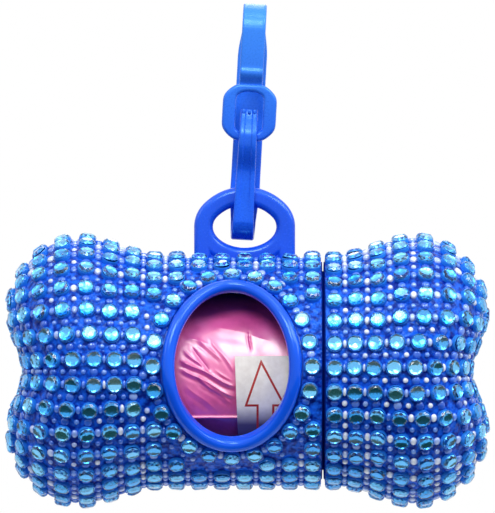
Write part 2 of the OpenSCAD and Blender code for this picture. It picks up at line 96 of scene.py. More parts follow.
# Values of the looks alone
SIDES = 144  # of the round sections along the bone
POLE_STOP = 0.8  # radius of the flat middle of each end face
CUT_REACH, OVERLAP = 60, 1  # how far tools go right through, and past a face that they meet
# Faces this near the seam's middle get painted shade; the collar is split to give it such a ring
SEAM_REACH, COLLAR_SHOWN = 0.8, 0.6  # from the seam's middle: to the faces in its gap, and on the collar
WEB_INSET, WEB_DROP = 0.35, 1.2  # of the ear's web, in from its faces and below its eye
BEZEL_SINK, PEG_SINK = 0.2, 0.12  # of the bezel's foot in the shell, and of a peg below the stones' feet
STONE_FIT, STONE_TILT = 0.08, 0.065  # a stone's room in its cup, and the usual slope of a stone set askew
STRAP_EDGE_R, BUCKLE_EDGE_R, GROOVE_DEPTH = 0.38, 0.55, 0.22
FILM_SLACK, FOLD_ANGLE, FOLD_STEP, HEM_H = 0.45, math.radians(-31), 1.3, 0.34
FILM_SHOWN_X, FILM_SHOWN_DEG = (-14, 9), (-60, 45)  # what the window shows of the film
LABEL_SKEW, LABEL_UNDER, INK_H, ARROW_LINE = 0.010, 0.02, 0.015, 0.38


# ---- Shapes of the part ----

def share(lo, hi, v):
    """How far v is on the way from lo to hi, from 0 to 1."""
    return np.clip((v - lo) / (hi - lo), 0, 1)


def smooth(lo, hi, v):
    """The same, with a soft start and end."""
    t = share(lo, hi, v)
    return t * t * (3 - 2 * t)


def unit(v):
    """Vectors of length 1."""
    return v / np.linalg.norm(v, axis=-1, keepdims=True)


def turns(count, start=0.0):
    """Angles of places set evenly round a circle."""
    return np.arange(count) * TAU / count + start


def outline(d):
    """Reach along X and radius of the bone, before its lobes swell, at distance d from its middle."""
    turn = np.clip((d - STRAIGHT_U) / CORNER_R, 0, math.pi / 2)
    x = np.where(d <= STRAIGHT_U, d, STRAIGHT_U + CORNER_R * np.sin(turn))
    r = np.where(d <= STRAIGHT_U + ARC_U, WAIST_R - CORNER_R * (1 - np.cos(turn)), np.maximum(0, POLE_U - d))
    return x, r


def swelling(x):
    """Share of the lobes' full height at reach x."""
    return smooth(FLARE_START, FLARE_START + FLARE_RUN, x)


def bone_point(u, a):
    """Point of the bare bone at distance u along its outline and angle a, 0 in front and growing upwards."""
    u, a = np.broadcast_arrays(np.asarray(u, float), np.asarray(a, float))
    x, r = outline(np.abs(u))
    y = -r * np.cos(a) * (1 + FLARE_DEPTH * swelling(x))
    z = r * np.sin(a) * (1 + FLARE_HEIGHT * swelling(x))
    dent = NOTCH_DEPTH * np.exp(-((z / NOTCH_HALF) ** 2)) * share(FLARE_START, BONE_HALF, x)
    return np.stack([np.sign(u) * (x - dent), y, z], -1)


def bone_normal(u, a):
    """Outward direction of the bone's skin."""
    du, da = 0.05, math.radians(0.5)
    along = bone_point(np.add(u, du), a) - bone_point(np.add(u, -du), a)
    return unit(np.cross(along, bone_point(u, np.add(a, da)) - bone_point(u, np.add(a, -da))))


def skin(u, a, h):
    """Point at height h over the bare bone."""
    return bone_point(u, a) + h * bone_normal(u, a)


def sweep(rings, closed=False):
    """Points and faces of a tube through rings; its ends are filled where it isn't closed."""
    m, n, _ = rings.shape
    faces = []
    for j in range(m if closed else m - 1):
        i = (j + 1) % m
        faces += [(j * n + k, j * n + (k + 1) % n, i * n + (k + 1) % n, i * n + k) for k in range(n)]
    if not closed:
        faces += [tuple(range(n))[::-1], tuple(range((m - 1) * n, m * n))]
    return rings.reshape(-1, 3), faces


def skin_rings(start, h, step=1.0):
    """Sections of the bone's skin at height h, from the outline's start nearly to its pole."""
    last = POLE_U - POLE_STOP
    return [skin(u, turns(SIDES), h) for u in np.linspace(start, last, int((last - start) / step) + 1)]


def bone_end(side, start, h):
    """One end of the bone, solid, from a flat cut at start."""
    return sweep(np.array(skin_rings(start, h)) * [side, 1, 1])


def net_skin(side, start):
    """The net over one end of the bone, from the inside to the outside."""
    return sweep(np.array(skin_rings(start, GLUE)[::-1] + skin_rings(start, NET_TOP)) * [side, 1, 1])


def bar_x(start, end, r, between=()):
    """A bar along the bone; its side is split at the places in between."""
    a = turns(SIDES)
    ring = np.stack([np.zeros(SIDES), r * np.cos(a), r * np.sin(a)], -1)
    return sweep(np.array([ring + [x, 0, 0] for x in (start, *between, end)]))


def oval_y(half_x, half_z):
    """A prism along Y that cuts the window through the front wall."""
    a = turns(SIDES)
    ring = np.stack([WINDOW_X + half_x * np.cos(a), 0 * a, WINDOW_Z + half_z * np.sin(a)], -1)
    return sweep(np.array([ring, ring - [0, CUT_REACH, 0]]))


def block(lo, hi):
    """A box between two corners."""
    p = np.array([[x, y, z] for x in (lo[0], hi[0]) for y in (lo[1], hi[1]) for z in (lo[2], hi[2])])
    return p, [(0, 1, 3, 2), (4, 6, 7, 5), (0, 4, 5, 1), (2, 3, 7, 6), (0, 2, 6, 4), (1, 5, 7, 3)]


def rounded(half_w, half_t, r, steps=6):
    """Outline of a rounded rectangle, as [across, up] pairs."""
    out = []
    for sx, sy, start in ((1, 1, 0), (-1, 1, 1), (-1, -1, 2), (1, -1, 3)):
        for k in range(steps):
            f = (start + k / (steps - 1)) * math.pi / 2
            out.append([sx * (half_w - r) + r * math.cos(f), sy * (half_t - r) + r * math.sin(f)])
    return np.array(out)


def box_reach(half_w, half_h, r, f):
    """Distance in direction f to the edge of a box that is cut back to a circle of radius r."""
    w, h = half_w / np.maximum(0.1, np.abs(np.cos(f))), half_h / np.maximum(0.1, np.abs(np.sin(f)))
    return np.minimum(r, np.minimum(w, h))


# ---- Blender objects ----

def make(name, shape):
    """A new object from points and faces, with its faces turned outwards."""
    points, faces = shape
    mesh = bpy.data.meshes.new(name)
    mesh.from_pydata([tuple(p) for p in np.asarray(points, float) * MM], [], faces)
    bm = bmesh.new()
    bm.from_mesh(mesh)
    bmesh.ops.recalc_face_normals(bm, faces=bm.faces)
    bm.to_mesh(mesh)
    bm.free()
    obj = bpy.data.objects.new(name, mesh)
    bpy.context.scene.collection.objects.link(obj)
    return obj


def carve(obj, shape, operation):
    """Adds a shape to obj or cuts it away, for good."""
    tool = make("carve_tool", shape)
    mod = obj.modifiers.new("carve", "BOOLEAN")
    mod.operation, mod.object, mod.solver = operation, tool, "MANIFOLD"
    bpy.context.view_layer.update()
    mesh = bpy.data.meshes.new_from_object(obj.evaluated_get(bpy.context.evaluated_depsgraph_get()))
    obj.modifiers.clear()
    obj.data = mesh
    bpy.data.objects.remove(tool)


def seam_shade_kinds(obj):
    """1 for the faces in the gap between the shell and the cap, which get painted shade, and 0 for the others.
    """
    return [int(abs(p.center.x / MM - SEAM_X) < SEAM_REACH) for p in obj.data.polygons]


def dress(obj, body, materials, replaces=(), sharp=None, at=BONE_AT, kinds=None):
    """Puts obj in its place on a body, with its materials; edges sharper than the angle stay crisp.

    kinds says which of the materials each face has. Without an angle, all edges stay crisp.
    """
    obj.data.transform(Matrix.Translation(Vector(at) * MM))
    obj.data.materials.clear()
    for m in materials:
        obj.data.materials.append(m)
    if kinds is not None:
        obj.data.polygons.foreach_set("material_index", kinds)
    if sharp is not None:
        obj.data.shade_smooth()
        obj.data.set_sharp_from_angle(angle=math.radians(sharp))
    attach(obj, body)
    if replaces:
        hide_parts(*replaces)


class Batch:
    """Many small solids gathered in one mesh."""

    def __init__(self):
        self.points, self.faces, self.kinds, self.count = [], [], [], 0

    def add(self, points, faces, kinds=None):
        self.points.append(points)
        self.faces += [tuple(i + self.count for i in f) for f in faces]
        self.kinds += kinds or [0] * len(faces)
        self.count += len(points)

    def object(self, name):
        return make(name, (np.concatenate(self.points), self.faces))


# ---- Materials ----
# Noise scales are per metre; bump depths and the heights of the painted light and shade fades are in metres.

def material(name):
    """A new material with its node tree and its shader."""
    m = bpy.data.materials.new(name)
    m.use_nodes = True
    return m, m.node_tree, m.node_tree.nodes["Principled BSDF"]


def noise(tree, scale, detail=2.0, rough=0.5):
    n = tree.nodes.new("ShaderNodeTexNoise")
    n.inputs["Scale"].default_value = scale
    n.inputs["Detail"].default_value = detail
    n.inputs["Roughness"].default_value = rough
    tree.links.new(tree.nodes.new("ShaderNodeTexCoord").outputs["Object"], n.inputs["Vector"])
    return n.outputs["Fac"]


def ramp(tree, value, stops):
    """Turns a value into a colour, by stops of (value, colour)."""
    r = tree.nodes.new("ShaderNodeValToRGB")
    while len(r.color_ramp.elements) < len(stops):
        r.color_ramp.elements.new(0.5)
    for element, (place, colour) in zip(r.color_ramp.elements, stops):
        element.position, element.color = place, (*colour, 1)
    tree.links.new(value, r.inputs["Fac"])
    return r.outputs["Color"]


def mottled(tree, scale, detail, low, high):
    """A colour that wanders between two."""
    return ramp(tree, noise(tree, scale, detail), [(0.3, low), (0.7, high)])


def island_mix(tree, stops):
    """A shade of its own for each loose solid of a mesh."""
    return ramp(tree, tree.nodes.new("ShaderNodeNewGeometry").outputs["Random Per Island"], stops)


def paint_light_and_shade_by_height(tree, colour, start, end, other):
    """Painted light and shade: fades a colour to another one between two heights."""
    split = tree.nodes.new("ShaderNodeSeparateXYZ")
    tree.links.new(tree.nodes.new("ShaderNodeTexCoord").outputs["Object"], split.inputs["Vector"])
    height = tree.nodes.new("ShaderNodeMapRange")
    height.inputs["From Min"].default_value, height.inputs["From Max"].default_value = start, end
    tree.links.new(split.outputs["Z"], height.inputs["Value"])
    mix = tree.nodes.new("ShaderNodeMixRGB")
    mix.inputs["Color2"].default_value = (*other, 1)
    tree.links.new(height.outputs["Result"], mix.inputs["Fac"])
    tree.links.new(colour, mix.inputs["Color1"])
    return mix.outputs["Color"]


def bump(tree, shader, height, strength, depth):
    b = tree.nodes.new("ShaderNodeBump")
    b.inputs["Strength"].default_value = strength
    b.inputs["Distance"].default_value = depth
    tree.links.new(height, b.inputs["Height"])
    tree.links.new(b.outputs["Normal"], shader.inputs["Normal"])


def grey(v):
    return (v, v, v)


def moulded(name, deep, base, rough, coat=0.6, wave=90, shine=0.5, painted_light_and_shade=()):
    """Glossy moulded plastic: slow colour drift, faint sink waves, a fine grain in its gloss, and any painted
    light and shade by height.
    """
    m, tree, s = material(name)
    colour = mottled(tree, 60, 3, deep, base)
    for fade in painted_light_and_shade:
        colour = paint_light_and_shade_by_height(tree, colour, *fade)
    tree.links.new(colour, s.inputs["Base Color"])
    tree.links.new(mottled(tree, 2600, 2, grey(0.8 * rough), grey(1.25 * rough)), s.inputs["Roughness"])
    s.inputs["IOR"].default_value = 1.5
    s.inputs["Specular IOR Level"].default_value = shine
    s.inputs["Specular Tint"].default_value = (0.28, 0.68, 1.0, 1)
    s.inputs["Coat Weight"].default_value = coat
    s.inputs["Coat Roughness"].default_value = 0.06
    s.inputs["Coat IOR"].default_value = 1.3
    bump(tree, s, noise(tree, wave), 0.5, 0.00004)
    return m


def net_material():
    """Glittery blue plastic: small cells that catch the light at random."""
    m, tree, s = material("net_plastic")
    shades = [(0.4, (0.001, 0.014, 0.26)), (0.62, (0.008, 0.12, 0.80))]
    tree.links.new(ramp(tree, noise(tree, 900, 3), shades), s.inputs["Base Color"])
    s.inputs["Roughness"].default_value = 0.2
    s.inputs["IOR"].default_value = 1.4
    s.inputs["Specular Tint"].default_value = (0.25, 0.5, 1.0, 1)
    cells = tree.nodes.new("ShaderNodeTexVoronoi")
    cells.inputs["Scale"].default_value = 1300
    tree.links.new(tree.nodes.new("ShaderNodeTexCoord").outputs["Object"], cells.inputs["Vector"])
    bump(tree, s, cells.outputs["Distance"], 0.6, 0.0003)
    return m


def peg_material(name, coat, shades):
    """Glossy pegs of the net, a shade of its own for each."""
    m, tree, s = material(name)
    tree.links.new(island_mix(tree, shades), s.inputs["Base Color"])
    s.inputs["Specular Tint"].default_value = (0.5, 0.7, 1.0, 1)
    s.inputs["Roughness"].default_value = 0.12
    s.inputs["IOR"].default_value = 1.8
    s.inputs["Coat Weight"].default_value = coat
    s.inputs["Coat Roughness"].default_value = 0.05
    bump(tree, s, noise(tree, 900), 0.3, 0.00003)
    return m


def glass_material():
    m, tree, s = material("stone_glass")
    tree.links.new(mottled(tree, 300, 2, (0.80, 0.93, 1.0), (0.88, 0.97, 1.0)), s.inputs["Base Color"])
    s.inputs["Roughness"].default_value = 0.02
    s.inputs["IOR"].default_value = 1.5
    s.inputs["Transmission Weight"].default_value = 1.0
    return m


def foil_material(name, rough, metallic, shades):
    """Foil behind the stones, a shade of its own for each."""
    m, tree, s = material(name)
    tree.links.new(island_mix(tree, shades), s.inputs["Base Color"])
    s.inputs["Metallic"].default_value = metallic
    s.inputs["Roughness"].default_value = rough
    bump(tree, s, noise(tree, 900), 0.3, 0.00002)
    return m


shell_blue = moulded("shell_plastic", (0.004, 0.065, 0.68), (0.010, 0.105, 0.88), 0.24)
# Painted light makes the strap paler towards its top, and painted shade darkens its lower bend
strap_blue = moulded(
    "strap_plastic", (0.006, 0.085, 0.74), (0.010, 0.12, 0.90), 0.28, coat=0.08, shine=0.8,
    painted_light_and_shade=[(-0.022, 0.004, (0.045, 0.25, 0.92)), (-0.033, -0.037, (0.002, 0.035, 0.46))],
)
# Painted shade in the seam's gap: dark blue with no gloss, or grazing light would draw a bright line in it
seam_shade_blue = moulded("seam_painted_shade", (0.002, 0.014, 0.22), (0.003, 0.022, 0.32), 0.6, coat=0.0, shine=0.0)
bezel_blue = moulded("bezel_plastic", (0.002, 0.065, 0.70), (0.004, 0.11, 0.92), 0.20, coat=0.5)
cup_blue = moulded("cup_plastic", (0.010, 0.16, 0.70), (0.030, 0.28, 0.86), 0.16, coat=0.8, wave=500)
net_blue = net_material()
peg_blue = peg_material("peg_blue", 0.2, [
    (0.0, (0.01, 0.07, 0.55)), (0.8, (0.04, 0.16, 0.78)), (1.0, (0.30, 0.45, 0.92)),
])
# Pegs beside the columns' stones: blue plastic, with a share painted near white as painted glints
peg_milky_glints = peg_material("peg_milky_glints", 1.0, [
    (0.0, (0.03, 0.14, 0.72)), (0.6, (0.10, 0.26, 0.85)), (1.0, (0.85, 0.90, 0.98)),
])
# The cap's pegs of that kind: more of them painted near white, as painted glints and painted light on the
# cap's side
peg_cap_lit_glints = peg_material("peg_cap_lit_glints", 1.0, [
    (0.0, (0.04, 0.17, 0.74)), (0.3, (0.14, 0.32, 0.86)), (0.75, (0.84, 0.90, 0.98)),
])
stone_glass = glass_material()
stone_foil = foil_material("stone_foil", 0.12, 1.0, [
    (0.0, (0.045, 0.36, 0.86)), (0.5, (0.09, 0.48, 0.94)), (1.0, (0.24, 0.66, 0.98)),
])
stone_rim = foil_material("stone_rim", 0.22, 0.7, [(0.0, (0.04, 0.26, 0.72)), (1.0, (0.10, 0.42, 0.90))])


# ---- Shell, cap, ear ----

def arch_ring(x, z, f, sides=32):
    """Round-edged section of the ear's frame at [x, z], facing outwards at angle f."""
    k = turns(sides)
    r = box_reach(EAR_BAR / 2, EAR_T / 2, EAR_EDGE_R, k)
    return np.stack([x + r * np.cos(k) * math.cos(f), r * np.sin(k), z + r * np.cos(k) * math.sin(f)], -1)


def arch_point(f):
    """Middle of the ear's frame where it faces angle f: a wide crown between two shoulders."""
    if abs(f - math.pi / 2) < CROWN_HALF:
        return CROWN_R * math.cos(f), ARCH_RISE - CROWN_R + CROWN_R * math.sin(f)
    side = 1 if f < math.pi / 2 else -1
    return side * SHOULDER_X + EAR_SHOULDER_R * math.cos(f), EAR_SHOULDER_R * math.sin(f)


def ear_shapes(arch_steps=72, low_steps=48):
    """The arch on its legs, the lower half of the frame round the eye, and the web below that."""
    leg = EAR_SPRING - EAR_FOOT
    arch = [arch_ring(-ARCH_HALF, -leg, math.pi)]
    arch += [arch_ring(*arch_point(f), f) for f in np.linspace(math.pi, 0, arch_steps + 1)]
    arch.append(arch_ring(ARCH_HALF, -leg, 0))
    half_x, depth = ARCH_HALF, EAR_EYE_DEPTH + EAR_BAR / 2
    low = []
    for f in np.linspace(-math.pi, 0, low_steps + 1):
        inward = math.atan2(half_x * math.sin(f), depth * math.cos(f)) + math.pi
        low.append(arch_ring(half_x * math.cos(f), depth * math.sin(f), inward))
    web = block(
        [EAR_X - ARCH_HALF, WEB_INSET - EAR_T / 2, EAR_FOOT],
        [EAR_X + ARCH_HALF, EAR_T / 2 - WEB_INSET, EAR_SPRING - EAR_EYE_DEPTH - WEB_DROP],
    )
    at = np.array([EAR_X, 0, EAR_SPRING])
    return sweep(np.array(arch) + at), sweep(np.array(low) + at), web


main_shell = make("main_shell_skin", bone_end(-1, -SHELL_END, 0))
collar = bar_x(SHELL_END - COLLAR_LEN, SEAM_X + COLLAR_LEN, COLLAR_R, between=[SEAM_X + COLLAR_SHOWN])
for shape in (collar, *ear_shapes()):
    carve(main_shell, shape, "UNION")
for shape in (
    bar_x(-CAVITY_X - OVERLAP, CUT_REACH, BORE_R),
    bone_end(-1, CAVITY_X, -LOBE_WALL),
    oval_y(WINDOW_HALF_X, WINDOW_HALF_Z),
):
    carve(main_shell, shape, "DIFFERENCE")
# The faces in the seam's gap get painted shade
dress(
    main_shell, "main_body", [shell_blue, seam_shade_blue], ["main_shell"],
    sharp=35, kinds=seam_shade_kinds(main_shell),
)

end_cap = make("end_cap_skin", bone_end(1, CAP_START, 0))
for shape in (
    bar_x(0, SOCKET_END, SOCKET_R),
    bar_x(0, STOP_END + OVERLAP, BORE_R),
    bone_end(1, STOP_END, -LOBE_WALL),
):
    carve(end_cap, shape, "DIFFERENCE")
dress(
    end_cap, "cap", [shell_blue, seam_shade_blue], ["end_cap"],
    sharp=35, kinds=seam_shade_kinds(end_cap),
)


# ---- Bezel ----

# The bezel stands off the round shell, so its foot is pulled in to give it its true height from the front
PULL = WAIST_R / (WAIST_R + BEZEL_MID)


def window_edge(f):
    """Point of the shell below the middle of the bezel, at angle f round the window."""
    x = WINDOW_X + (WINDOW_HALF_X + BEZEL_W / 2) * math.cos(f)
    z = PULL * (WINDOW_Z + (WINDOW_HALF_Z + BEZEL_W / 2) * math.sin(f))
    return np.array([x, -math.sqrt(WAIST_R**2 - z**2), z])


def window_inward(f):
    """Direction along the shell from there to the window."""
    p, d = window_edge(f), math.radians(1)
    along = unit(window_edge(f + d) - window_edge(f - d))
    return np.cross(np.array([0, p[1], p[2]]) / WAIST_R, along)


def clear_of_window(p):
    """Keeps the upper part of the bezel's inner wall level with the opening's edge."""
    x, z = p[0] - WINDOW_X, p[2] - WINDOW_Z
    reach = math.hypot(x / WINDOW_HALF_X, z / WINDOW_HALF_Z)
    if z < 0 or reach >= 1:
        return p
    return np.array([WINDOW_X + x / reach, p[1], WINDOW_Z + z / reach])


def bezel_shape(steps=180, arc=22):
    """The ring round the window: straight sides up to a round top."""
    section = [[BEZEL_W / 2, -BEZEL_SINK], [-BEZEL_W / 2, -BEZEL_SINK]]
    for k in range(arc + 1):
        f = math.pi * (1 - k / arc)
        section.append([BEZEL_W / 2 * math.cos(f), BEZEL_MID + BEZEL_W / 2 * math.sin(f)])
    rings = []
    for k in range(steps):
        f = TAU * k / steps
        p, inward = window_edge(f), window_inward(f)
        up = np.array([0, p[1], p[2]]) / WAIST_R
        rings.append([clear_of_window(p + w * inward + h * up) for w, h in section])
    return sweep(np.array(rings), closed=True)


bezel = make("window_bezel_ring", bezel_shape())
dress(bezel, "main_body", [bezel_blue], ["window_bezel"], sharp=50)


# ---- Nets ----

main_net = make("main_net_skin", net_skin(-1, -SHELL_END + STONE_GAP))
window_room = BEZEL_W + STONE_GAP
carve(main_net, oval_y(WINDOW_HALF_X + window_room, WINDOW_HALF_Z + window_room), "DIFFERENCE")
ear_half_x, ear_half_y = EAR_W / 2 + STONE_GAP, EAR_T / 2 + STONE_GAP
ear_room = block([EAR_X - ear_half_x, -ear_half_y, 0], [EAR_X + ear_half_x, ear_half_y, CUT_REACH])
carve(main_net, ear_room, "DIFFERENCE")
cap_net = make("cap_net_skin", net_skin(1, CAP_START + STONE_GAP))
for net, body, node in ((main_net, "main_body", "main_net"), (cap_net, "cap", "cap_net")):
    dress(net, body, [net_blue, seam_shade_blue], [node], sharp=35, kinds=seam_shade_kinds(net))


# ---- Places of the stones ----

def nearest(v):
    """The nearest whole number."""
    return math.floor(v + 0.5)


def row_count(u):
    """Stones in the column at u: an even number that fits its girth."""
    x, r = outline(abs(u))
    swell = swelling(x) * (FLARE_HEIGHT + FLARE_DEPTH) / 2
    girth = TAU * r * (1 + NET_TOP / WAIST_R) * (1 + swell)
    return 2 * nearest(girth / ROW_PITCH / 2)


def window_stones():
    """Places of the ring of stones round the bezel."""
    away = BEZEL_W / 2 + STONE_PLACE
    girth = TAU * ((WINDOW_HALF_X + WINDOW_HALF_Z + BEZEL_W) / 2 + away)
    out = []
    for f in turns(nearest(girth / COLUMN_PITCH)):
        p, step = window_edge(f), -away * window_inward(f)
        a = math.asin(p[2] / WAIST_R)
        out.append((p[0] + step[0], a + (step[1] * math.sin(a) + step[2] * math.cos(a)) / WAIST_R))
    return out


ring_places = window_stones()
ring_points = np.array([bone_point(*s) for s in ring_places])


def beside_window(p):
    x = (p[0] - WINDOW_X) / (WINDOW_HALF_X + BEZEL_W)
    z = (p[2] - WINDOW_Z) / (WINDOW_HALF_Z + BEZEL_W / 2)
    inside = p[1] < 0 and x * x + z * z < 1
    return inside or np.linalg.norm(ring_points - p, axis=1).min() < 2 * CUP_R + CUP_GAP


def beside_ear(p):
    return p[2] > 0 and abs(p[0] - EAR_X) < EAR_W / 2 + STONE_PLACE and abs(p[1]) < EAR_T / 2 + STONE_PLACE


def stone_grid(side, first, phase):
    """Places [u, a] in columns from the seam to the pole; phase turns each column by a share of its pitch."""
    out = []
    for c in range(int((POLE_U - first - 2 * CUP_R - CUP_GAP) / COLUMN_PITCH) + 1):
        u = side * (first + c * COLUMN_PITCH)
        n = row_count(u)
        out += [(u, (k + phase) * TAU / n) for k in range(n)]
    return out


def stations(places, side):
    """Foot and outward direction of each stone, the middle one of the end face last."""
    u, a = np.array(places).T
    feet = np.vstack([skin(u, a, STONE_BASE), [[side * (BONE_HALF - NOTCH_DEPTH + STONE_BASE), 0, 0]]])
    return feet, np.vstack([bone_normal(u, a), [[side, 0, 0]]])


def frames(normals, spin, tilt_x, tilt_y):
    """A frame for each stone: two sideways axes and the outward one, turned and tilted a little.

    The first axis starts along the bone, or upwards where the skin faces that way.
    """
    side = np.where(np.abs(normals[:, :1]) < 0.8, [[1.0, 0, 0]], [[0, 0, 1.0]])
    t1 = unit(side - normals * np.sum(side * normals, 1, keepdims=True))
    t2 = np.cross(normals, t1)
    n = unit(normals + t1 * tilt_x[:, None] + t2 * tilt_y[:, None])
    t1 = unit(t1 - n * np.sum(t1 * n, 1, keepdims=True))
    t2 = np.cross(n, t1)
    c, s = np.cos(spin)[:, None], np.sin(spin)[:, None]
    return np.stack([c * t1 + s * t2, -s * t1 + c * t2, n], -1)


# ---- Stones, cups, pegs ----

def level_ring(sides, r, h, start=0.0):
    a = turns(sides, start)
    return np.stack([r * np.cos(a), r * np.sin(a), 0 * a + h], -1)


def round_shape(profile, sides, filled=True):
    """Solid of revolution about Z from [radius, height] pairs."""
    return sweep(np.array([level_ring(sides, r, h) for r, h in profile]), closed=not filled)


def stone_shape():
    """A cut stone from its tip up: a foiled cone (kind 1), a foiled rim (2), clear facets and a table (0)."""
    r, half_turn = CUP_R - STONE_FIT, TAU / 16
    points = np.vstack([
        [[0, 0, 0.32]],
        level_ring(8, 0.5, 0.346, half_turn),
        level_ring(16, 1.05, 0.414),
        level_ring(16, r, CUP_H + 0.02),
        level_ring(16, r, CUP_H + 0.10),
        level_ring(8, r - 0.16, CUP_H + 0.34, half_turn),
        level_ring(8, TABLE_D / 2 + 0.2, CUP_H + CROWN_H),
    ])
    deep, low, girdle, edge, mid, table = 1, 9, 25, 41, 57, 65
    faces, kinds = [], []
    for k in range(8):
        n = (k + 1) % 8
        a, b, c = low + 2 * k, low + 2 * k + 1, low + (2 * k + 2) % 16
        faces += [(0, deep + k, deep + n), (deep + k, a, b), (deep + k, b, c), (deep + k, c, deep + n)]
        kinds += [1, 1, 1, 1]
    for k in range(16):
        n = (k + 1) % 16
        faces += [(low + k, low + n, girdle + n, girdle + k), (girdle + k, girdle + n, edge + n, edge + k)]
        kinds += [1, 2]
    for k in range(8):
        n = (k + 1) % 8
        a, b, c, m = edge + 2 * k, edge + 2 * k + 1, edge + (2 * k + 2) % 16, mid + k
        faces += [(a, b, m), (b, c, m), (c, mid + n, table + n, m), (m, table + n, table + k)]
        kinds += [2, 2, 0, 0]
    faces.append(tuple(range(table, table + 8)))
    kinds.append(0)
    return points, faces, kinds


CUP = round_shape([
    (CUP_R - 0.02, -0.2), (CUP_R, 0.30), (CUP_R - 0.01, 0.52), (CUP_R - 0.05, CUP_H), (CUP_R - 0.12, CUP_H),
    (CUP_R - 0.34, 0.40), (CUP_R - 0.34, 0.1),
], 24, filled=False)
STONE = stone_shape()
# A peg of radius and height 1, and how each place scales it
PEG = round_shape([(1.0, -0.3), (1.0, 0.1), (0.95, 0.5), (0.8, 0.8), (0.5, 0.95), (0.08, 1.0)], 12)
PEG_HALF, PEG_H, PEG_BITE, MIDDLE_PEG = 0.74, 0.62, 0.08, (0.5, 0.5, 0.6)
# Distances between stones with a peg half-way, and the room that a middle peg needs
NEIGHBOURS, DIAGONALS = (0.1, 4.75), (5.0, 6.4)
LEAST_HALF_GAP, MIDDLE_TO_STONE, MIDDLE_TO_MIDDLE = 0.16, 2.25, 1.2


def pairs(d, reach):
    """Pairs of stones whose distance is within reach."""
    lo, hi = reach
    return [(i, j) for i, j in zip(*np.where((d >= lo) & (d < hi))) if i < j]


def peg_stations(feet, normals):
    """Pegs of the net, one in each gap between neighbours and one in the middle of each four stones.

    Each has its foot, outward direction, direction along the gap, scale and kind, which is 0 between the
    stones of a column and 1 elsewhere. A peg bites a little into the cups beside it.
    """
    def between(i, j):
        n = unit(normals[i] + normals[j])
        return (feet[i] + feet[j]) / 2, n, unit(np.cross(n, feet[j] - feet[i]))

    d = np.linalg.norm(feet[:, None] - feet[None], axis=2)
    out = []
    for i, j in pairs(d, NEIGHBOURS):
        half_gap = max(LEAST_HALF_GAP, d[i, j] / 2 - CUP_R)
        beside = abs(feet[i, 0] - feet[j, 0]) > COLUMN_PITCH / 2
        out.append((*between(i, j), (PEG_HALF, half_gap + PEG_BITE, PEG_H), int(beside)))
    middles = []
    for i, j in pairs(d, DIAGONALS):
        p, n, across = between(i, j)
        crowded = any(np.linalg.norm(m - p) < MIDDLE_TO_MIDDLE for m in middles)
        if not crowded and np.linalg.norm(feet - p, axis=1).min() >= MIDDLE_TO_STONE:
            middles.append(p)
            out.append((p, n, across, MIDDLE_PEG, 1))
    return out


def cover(prefix, body, places, side, seed, beside_pegs):
    """Cups, stones and pegs over one end of the bone; the stones stand for the part's five zones."""
    rng = np.random.default_rng(seed)
    feet, normals = stations(places, side)
    count = len(feet)
    zero = np.zeros(count)
    cups, cut, pegs = Batch(), Batch(), Batch()
    for foot, axes in zip(feet, frames(normals, zero, zero, zero)):
        cups.add(CUP[0] @ axes.T + foot, CUP[1])
    spin = rng.uniform(0, TAU, count)
    tilt_x, tilt_y = rng.normal(0, STONE_TILT, count), rng.normal(0, STONE_TILT, count)
    for foot, axes in zip(feet, frames(normals, spin, tilt_x, tilt_y)):
        cut.add(STONE[0] @ axes.T + foot, STONE[1], STONE[2])
    for foot, n, across, scale, kind in peg_stations(feet, normals):
        axes = np.stack([across, np.cross(n, across), n], -1)
        pegs.add((PEG[0] * scale) @ axes.T + foot - PEG_SINK * n, PEG[1], [kind] * len(PEG[1]))
    nodes = [f"{prefix}_{zone}_stones" for zone in ("front", "top", "back", "bottom", "end")]
    dress(cups.object(prefix + "_cups"), body, [cup_blue], sharp=50)
    dress(
        pegs.object(prefix + "_pegs"), body, [peg_blue, beside_pegs],
        sharp=60, kinds=pegs.kinds,
    )
    dress(
        cut.object(prefix + "_stones"), body, [stone_glass, stone_foil, stone_rim], nodes,
        kinds=cut.kinds,
    )


main_grid = [(s, bone_point(*s)) for s in stone_grid(-1, STONE_PLACE - SHELL_END, 0.5)]
main_places = [s for s, p in main_grid if not beside_window(p) and not beside_ear(p)] + ring_places
cover("main", "main_body", main_places, -1, 11, peg_milky_glints)
cover("cap", "cap", stone_grid(1, CAP_START + STONE_PLACE, CAP_TURN), 1, 12, peg_cap_lit_glints)


# ---- Strap ----

def lean(points):
    """Turns the strap about the leash loop to where it leans in the photo."""
    c, s = math.cos(STRAP_LEAN), math.sin(STRAP_LEAN)
    p = np.asarray(points, float)
    return np.stack([p[..., 0] * c + p[..., 2] * s, p[..., 1], -p[..., 0] * s + p[..., 2] * c], -1)


